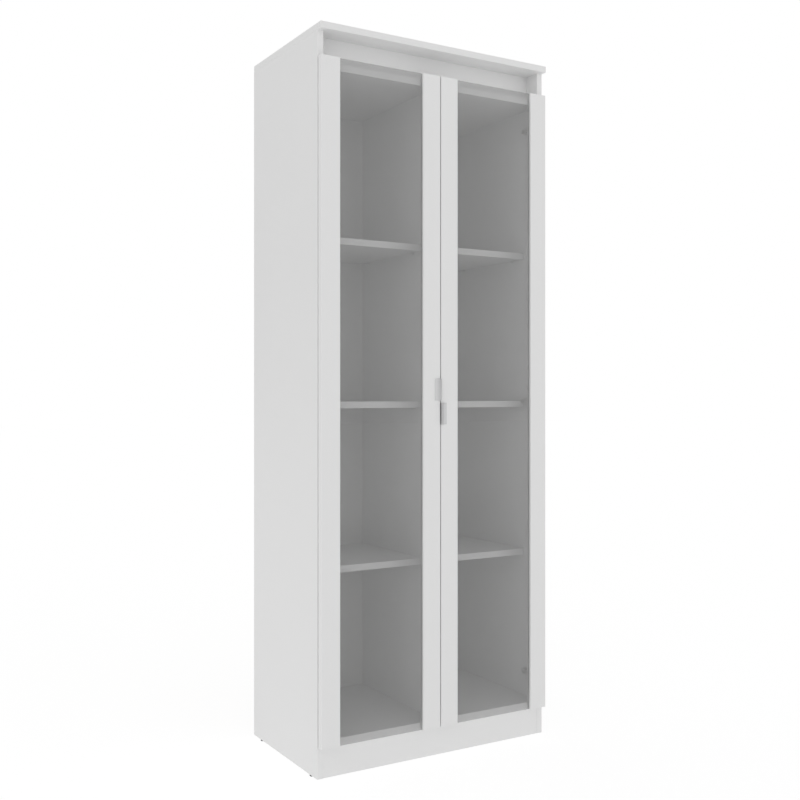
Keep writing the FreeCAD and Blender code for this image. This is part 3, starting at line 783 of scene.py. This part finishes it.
nickel = metal(
    "satin_nickel_plate", (0.72, 0.715, 0.70), (0.82, 0.815, 0.80), 0.42, 0.18, 2600.0, 120.0, 0.000012
)
plate = block(
    "hinge_plate",
    at_hinge(0.0, PLATE_BACK[0], -PLATE_HALF),
    at_hinge(PLATE_THICK, PLATE_BACK[1], PLATE_HALF),
)
for way in (-1.0, 1.0):
    wing_up = way * (WING_REACH - WING_RADIUS)
    front, back = SYSTEM_LINE - WING_RADIUS, SYSTEM_LINE + WING_RADIUS
    low, high = sorted((0.0, wing_up))
    combine(plate, block("wing", at_hinge(0.0, front, low), at_hinge(PLATE_THICK, back, high)), "UNION")
    wing_end = round_bar(
        "wing_end", 40, WING_RADIUS,
        at_hinge(0.0, SYSTEM_LINE, wing_up),
        at_hinge(PLATE_THICK, SYSTEM_LINE, wing_up),
    )
    combine(plate, wing_end, "UNION")
saddle = block(
    "saddle",
    at_hinge(PLATE_THICK / 2, SADDLE_BACK[0], -SADDLE_HALF),
    at_hinge(SADDLE_TOP, SADDLE_BACK[1], SADDLE_HALF),
)
combine(plate, saddle, "UNION")
for way in (-1.0, 1.0):
    sink_face = at_hinge(PLATE_THICK - SINK_PLAY, SYSTEM_LINE, way * PLATE_SCREW_UP)
    above = at_hinge(2.0 * PLATE_THICK, SYSTEM_LINE, way * PLATE_SCREW_UP)
    combine(plate, round_bar("sink", 32, PLATE_SCREW[0] + SINK_PLAY, sink_face, above))
soften(plate, 0.0004)
hinge_pieces(plate, nickel, "nickel_plate", "hinge_plates", "carcass", "carcass")

plate_screw = flat_head_screw("plate_screw", *PLATE_SCREW)
plate_screws = set_of(plate_screw, "plate_screw_pair", [
    moved(*at_hinge(PLATE_THICK, SYSTEM_LINE, way * PLATE_SCREW_UP), turn=90.0, about="Y")
    for way in (-1.0, 1.0)
])
bpy.data.objects.remove(plate_screw)
hinge_pieces(plate_screws, bright_zinc, "zinc_steel", "hinge_plate_screws", "carcass", "carcass")


# ---- The hinge arms, their clamping screws and their pins ----
# Channels pressed from nickel-plated steel sheet, slid over the saddles. A pan-headed screw in
# a slot clamps each arm, and a pin through its nose carries the link.
ARM_TOP = 0.0182
ARM_LIP = 0.0120
ARM_SHEET = 0.0015
ARM_HALF = 0.0065
ARM_BACK = (0.003, 0.057)
ARM_BEND = 0.0018
NOSE_HALF = 0.0022
NOSE_RADIUS = 0.0027
NOSE_FOOT = (0.0122, 0.012)
NOSE_UNDER_TOP = 0.0003
ARM_PIVOT = (0.0185, -0.0105)
ARM_SLOT = (0.0410, 0.0510)
ARM_SLOT_HALF = 0.0022
ARM_SCREW_BACK = 0.046
ARM_SCREW_HEAD = (0.0035, 0.0015)
ARM_SCREW_SHANK = (0.0020, 0.0120)
PIN_RADIUS = 0.00125
LINK_HALF = 0.0041

arm = block(
    "hinge_arm",
    at_hinge(ARM_TOP - ARM_LIP, ARM_BACK[0], -ARM_HALF),
    at_hinge(ARM_TOP, ARM_BACK[1], ARM_HALF),
)
arm_top_x = at_hinge(ARM_TOP, 0.0).x
pick(arm, "edges", lambda edge: all(
    abs(arm.data.vertices[index].co.x - arm_top_x) < 0.0001 for index in edge.vertices
) and len({round(arm.data.vertices[index].co.z, 5) for index in edge.vertices}) == 1)
bpy.ops.mesh.bevel(offset=ARM_BEND, segments=5, affect="EDGES")
inside = block(
    "arm_inside",
    at_hinge(ARM_TOP - ARM_LIP - 0.001, ARM_BACK[0] - 0.001, -ARM_HALF + ARM_SHEET),
    at_hinge(ARM_TOP - ARM_SHEET, ARM_BACK[1] + 0.001, ARM_HALF - ARM_SHEET),
)
combine(arm, inside)
nose = block(
    "nose",
    at_hinge(NOSE_FOOT[0], ARM_PIVOT[1], -NOSE_HALF),
    at_hinge(ARM_TOP - NOSE_UNDER_TOP, NOSE_FOOT[1], NOSE_HALF),
)
nose_foot_x = at_hinge(NOSE_FOOT[0], 0.0).x
pick(nose, "edges", lambda edge: all(
    abs(nose.data.vertices[index].co.y - at_hinge(0.0, ARM_PIVOT[1]).y) < 0.0001
    and abs(nose.data.vertices[index].co.x - nose_foot_x) < 0.0001 for index in edge.vertices
))
bpy.ops.transform.translate(value=(ARM_PIVOT[0] - NOSE_RADIUS - NOSE_FOOT[0], 0.0, 0.0))
combine(arm, nose, "UNION")
nose_end = round_bar(
    "nose_end", 40, NOSE_RADIUS, at_hinge(*ARM_PIVOT, -NOSE_HALF), at_hinge(*ARM_PIVOT, NOSE_HALF)
)
combine(arm, nose_end, "UNION")
slot_low, slot_high = ARM_TOP - ARM_SHEET - 0.0005, ARM_TOP + 0.001
combine(arm, block(
    "slot",
    at_hinge(slot_low, ARM_SLOT[0] + ARM_SLOT_HALF, -ARM_SLOT_HALF),
    at_hinge(slot_high, ARM_SLOT[1] - ARM_SLOT_HALF, ARM_SLOT_HALF),
))
for back in (ARM_SLOT[0] + ARM_SLOT_HALF, ARM_SLOT[1] - ARM_SLOT_HALF):
    slot_end = round_bar("slot_end", 28, ARM_SLOT_HALF, at_hinge(slot_low, back), at_hinge(slot_high, back))
    combine(arm, slot_end)
soften(arm, 0.0003)
hinge_pieces(arm, nickel, "nickel_plate", "hinge_arms", "carcass", "carcass")

head_radius, head_high = ARM_SCREW_HEAD
shank_radius, shank_long = ARM_SCREW_SHANK
arm_screw = round_bar("arm_screw", 32, head_radius, (0.0, 0.0, 0.0), (0.0, 0.0, head_high))
pick(arm_screw, "edges", lambda edge: all(
    arm_screw.data.vertices[index].co.z > head_high - 0.0001 for index in edge.vertices
))
bpy.ops.mesh.bevel(offset=0.0007, segments=4, affect="EDGES")
pick(arm_screw, "faces", facing((0, 0, -1)))
bpy.ops.mesh.inset(thickness=head_radius - shank_radius)
push((0.0, 0.0, shank_radius - shank_long))
push((0.0, 0.0, -shank_radius))
bpy.ops.transform.resize(value=(0.4, 0.4, 1.0))
recess(arm_screw, head_high, 0.6 * head_radius, 0.12 * head_radius, 0.7 * head_high)
soften(arm_screw, 0.00012, 1)
arm_screw.data.transform(moved(*at_hinge(ARM_TOP, ARM_SCREW_BACK), turn=90.0, about="Y"))
hinge_pieces(arm_screw, bright_zinc, "zinc_steel", "hinge_arm_screws", "carcass", "carcass")


def rivet(name, place, half):
    """An upright pin with slightly domed ends."""
    pin = round_bar(name, 28, PIN_RADIUS, at_hinge(*place, -half), at_hinge(*place, half))
    return soften(pin, 0.0003, 3)


arm_pin = rivet("arm_pin", ARM_PIVOT, LINK_HALF)
hinge_pieces(arm_pin, bright_zinc, "zinc_steel", "hinge_arm_pins", "carcass", "carcass")


# ---- The hinge cups, their screws and their pins ----
# Pressed nickel-plated cups of 35 mm, sunk in the back of each hinge stile and held by a screw
# in each ear. Two cheeks inside the cup carry the pin that the link turns on.
CUP_OFF = 0.006
CUP_RADIUS = 0.0175
CUP_DEEP = 0.013
CUP_WALL = 0.0013
FLANGE_RADIUS = 0.0185
FLANGE_THICK = 0.0010
EAR_OFF = 0.012
EAR_UP = 0.024
EAR_RADIUS = 0.0050
CHEEK = (0.0044, 0.0086)
CHEEK_DROP = 0.0012
CUP_PIVOT = (-0.0024, -0.0078)
CUP_PIN_HALF = 0.0075
CUP_SCREW = (0.0027, 0.00175, 0.014)

stile_back = carcass_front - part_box("door_left_hinge_stile")[1][1]
flange_face = -stile_back + FLANGE_THICK
cup_floor = -stile_back - CUP_DEEP
cup = round_bar("hinge_cup", 72, CUP_RADIUS, at_hinge(CUP_OFF, cup_floor), at_hinge(CUP_OFF, flange_face))
flange = round_bar("flange", 72, FLANGE_RADIUS, at_hinge(CUP_OFF, -stile_back), at_hinge(CUP_OFF, flange_face))
combine(cup, flange, "UNION")
bridge = block(
    "bridge",
    at_hinge(EAR_OFF - EAR_RADIUS, -stile_back, -EAR_UP),
    at_hinge(EAR_OFF + EAR_RADIUS, flange_face, EAR_UP),
)
combine(cup, bridge, "UNION")
for up in (-EAR_UP, EAR_UP):
    ear_low, ear_high = at_hinge(EAR_OFF, -stile_back, up), at_hinge(EAR_OFF, flange_face, up)
    ear = round_bar("ear", 40, EAR_RADIUS, ear_low, ear_high)
    combine(cup, ear, "UNION")
hollow_floor = cup_floor + CUP_WALL
hollow = round_bar(
    "hollow", 72, CUP_RADIUS - CUP_WALL,
    at_hinge(CUP_OFF, hollow_floor),
    at_hinge(CUP_OFF, flange_face + 0.001),
)
for way in (-1.0, 1.0):
    low, high = sorted((way * CHEEK[0], way * CHEEK[1]))
    cheek = block(
        "cheek",
        at_hinge(CUP_OFF - CUP_RADIUS, hollow_floor - 0.001, low),
        at_hinge(CUP_OFF + CUP_RADIUS, flange_face - CHEEK_DROP, high),
    )
    combine(hollow, cheek)
combine(cup, hollow)
for up in (-EAR_UP, EAR_UP):
    sink_face = at_hinge(EAR_OFF, flange_face - SINK_PLAY, up)
    above = at_hinge(EAR_OFF, flange_face + 0.001, up)
    combine(cup, round_bar("sink", 28, CUP_SCREW[0] + SINK_PLAY, sink_face, above))
soften(cup, 0.0003)
hinge_pieces(cup, nickel, "nickel_plate", "hinge_cups", "door_left", "door_right")

cup_screw = flat_head_screw("cup_screw", *CUP_SCREW)
cup_screws = set_of(cup_screw, "cup_screw_pair", [
    moved(*at_hinge(EAR_OFF, flange_face, up), turn=-90.0, about="X") for up in (-EAR_UP, EAR_UP)
])
bpy.data.objects.remove(cup_screw)
hinge_pieces(cup_screws, bright_zinc, "zinc_steel", "hinge_cup_screws", "door_left", "door_right")
cup_pin = rivet("cup_pin", CUP_PIVOT, CUP_PIN_HALF)
hinge_pieces(cup_pin, bright_zinc, "zinc_steel", "hinge_cup_pins", "door_left", "door_right")


# ---- The hinge links ----
# Cast nickel-plated links: an eye on the cup's pin, and a fork whose two eyes hold the arm's
# pin on both sides of the nose.
EYE_RADIUS = 0.0025
EYE_PLAY = 0.00005
FORK_HALF = 0.0024
FORK_REACH = 0.0060
WEB_INSET = 0.0003

link = round_bar(
    "hinge_link", 40, EYE_RADIUS, at_hinge(*CUP_PIVOT, -LINK_HALF), at_hinge(*CUP_PIVOT, LINK_HALF)
)
far_eye = round_bar(
    "far_eye", 40, EYE_RADIUS, at_hinge(*ARM_PIVOT, -LINK_HALF), at_hinge(*ARM_PIVOT, LINK_HALF)
)
run = at_hinge(*ARM_PIVOT) - at_hinge(*CUP_PIVOT)
web = block(
    "web",
    (-run.length / 2, -EYE_RADIUS + WEB_INSET, -LINK_HALF),
    (run.length / 2, EYE_RADIUS - WEB_INSET, LINK_HALF),
)
middle = at_hinge(*CUP_PIVOT) + run / 2
web.data.transform(moved(*middle, turn=math.degrees(math.atan2(run.y, run.x))))
combine(link, web, "UNION")
combine(link, far_eye, "UNION")
fork = round_bar("fork", 48, FORK_REACH, at_hinge(*ARM_PIVOT, -FORK_HALF), at_hinge(*ARM_PIVOT, FORK_HALF))
combine(link, fork)
for pivot in (CUP_PIVOT, ARM_PIVOT):
    low, high = at_hinge(*pivot, -LINK_HALF - 0.001), at_hinge(*pivot, LINK_HALF + 0.001)
    combine(link, round_bar("bore", 28, PIN_RADIUS + EYE_PLAY, low, high))
soften(link, 0.0002)
hinge_pieces(link, nickel, "nickel_plate", "hinge_links", "links_left", "links_right")


# ---- The glass: one full-height pane in each door ----
# Grey body-tinted float glass of 4 mm with polished edges. It slides into the grooves of the
# two stiles, and its top and bottom edges stay open. The tint colours what is seen through it,
# and light that falls through it keeps nearly all its strength.
GLASS_TINT = (0.54, 0.54, 0.54, 1.0)
GLASS_SHADE = (0.985, 0.985, 0.985, 1.0)

glass, glass_tree, glass_shader = new_material(
    "grey_float_glass", Base_Color=GLASS_TINT, Roughness=0.0, IOR=1.85, Transmission_Weight=1.0, Metallic=0.0
)
glass_clear = glass_tree.nodes.new("ShaderNodeBsdfTransparent")
glass_clear.inputs["Color"].default_value = GLASS_SHADE
glass_path = glass_tree.nodes.new("ShaderNodeLightPath")
glass_lamp = glass_tree.nodes.new("ShaderNodeMath")
glass_lamp.operation = "MAXIMUM"
glass_mix = glass_tree.nodes.new("ShaderNodeMixShader")
wire(glass_tree, [
    (glass_path.outputs["Is Shadow Ray"], glass_lamp.inputs[0]),
    (glass_path.outputs["Is Diffuse Ray"], glass_lamp.inputs[1]),
    (glass_lamp.outputs[0], glass_mix.inputs[0]),
    (glass_shader.outputs[0], glass_mix.inputs[1]),
    (glass_clear.outputs[0], glass_mix.inputs[2]),
    (glass_mix.outputs[0], glass_tree.nodes["Material Output"].inputs["Surface"]),
])
dress(glass, "door_left_glass", "door_right_glass")


# ---- The glazing channels: soft strips between glass and groove ----
# Extruded translucent grey PVC, pushed over the edge of the pane before it slides into the
# stile, so that it can't rattle.
SEAL_DARK = (0.50, 0.51, 0.51)
SEAL_LIGHT = (0.58, 0.59, 0.59)

seal, seal_tree, seal_shader = new_material(
    "soft_glazing_channel", Base_Color=(0.55, 0.56, 0.56, 1.0), Roughness=0.5
)
seal_grain = use_group(
    seal_tree, grain_group, object_coordinates(seal_tree),
    Grain_Scale=1500.0, Cloud_Scale=12.0, Roughness=0.5, Roughness_Spread=0.1,
)
seal_colour = two_colours(seal_tree, seal_grain.outputs["Clouds"], SEAL_DARK, SEAL_LIGHT)
wire(seal_tree, [
    (seal_colour.outputs["Result"], seal_shader.inputs["Base Color"]),
    (seal_grain.outputs["Roughness"], seal_shader.inputs["Roughness"]),
])
add_bump(seal_tree, seal_grain.outputs["Height"], seal_shader, 0.00002, 0.5)
dress(seal, "door_left_seals", "door_right_seals")


# ---- The edge pulls ----
# Extruded aluminium, drawn along its length so that the grain runs upright, cut to length,
# deburred and anodised a satin grey. Each hooks over the meeting edge of its door.
PULL_DEBUR = 0.00025
PULL_DARK = (0.58, 0.58, 0.585)
PULL_LIGHT = (0.68, 0.68, 0.685)
PULL_LINES_PER_METRE = 5200.0

satin, satin_tree, satin_shader = new_material("satin_grey_aluminium", Metallic=1.0, Roughness=0.36)
satin_place = object_coordinates(satin_tree, (1.0, 1.0, 0.02))
satin_lines = noise(satin_tree, satin_place, PULL_LINES_PER_METRE, 3.0, 0.6)
satin_grain = use_group(
    satin_tree, grain_group, object_coordinates(satin_tree),
    Grain_Scale=2600.0, Cloud_Scale=30.0, Roughness=0.36, Roughness_Spread=0.12,
)
satin_colour = two_colours(satin_tree, satin_lines, PULL_DARK, PULL_LIGHT)
wire(satin_tree, [
    (satin_colour.outputs["Result"], satin_shader.inputs["Base Color"]),
    (satin_grain.outputs["Roughness"], satin_shader.inputs["Roughness"]),
])
add_bump(satin_tree, satin_lines, satin_shader, 0.00001, 0.6)
for side in ("left", "right"):
    node = "door_" + side + "_pull"
    pull = nodes[node].copy()
    pull.data = nodes[node].data.copy()
    bpy.context.scene.collection.objects.link(pull)
    pull.name = "pull_" + side
    pull.data.name = "pull_" + side
    pick(pull, "faces", lambda face: True)
    bpy.ops.mesh.remove_doubles(threshold=0.00001)
    bpy.ops.mesh.dissolve_limited(angle_limit=math.radians(1.0))
    soften(pull, PULL_DEBUR)
    fit(pull, satin, "satin_aluminium", "door_" + side, node)


# ---- The pull screws ----
# Two countersunk screws of 3 by 13 mm through the back leaf of each pull, into the stile. They
# are bright zinc-plated steel with a cross recess and show only with the door open.
PULL_SCREW = (0.0030, 0.0015, 0.013)
PULL_SCREW_IN = 0.0070
PULL_SCREW_UP = 0.020
PULL_WEB = 0.00125

pull_screw = flat_head_screw("pull_screw", *PULL_SCREW)
door_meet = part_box("door_left_meeting_stile")[1][0]
for side, way in (("left", 1.0), ("right", -1.0)):
    low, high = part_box("door_" + side + "_pull")
    middle = (low[2] + high[2]) / 2
    leaf_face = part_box("door_left_meeting_stile")[1][1] + PULL_WEB
    screws = set_of(pull_screw, "pull_screw_pair_" + side, [
        moved(way * (door_meet - PULL_SCREW_IN), leaf_face, middle + up, turn=-90.0, about="X")
        for up in (-PULL_SCREW_UP, PULL_SCREW_UP)
    ])
    fit(screws, bright_zinc, "zinc_steel", "door_" + side, "door_" + side + "_pull_screws")
bpy.data.objects.remove(pull_screw)
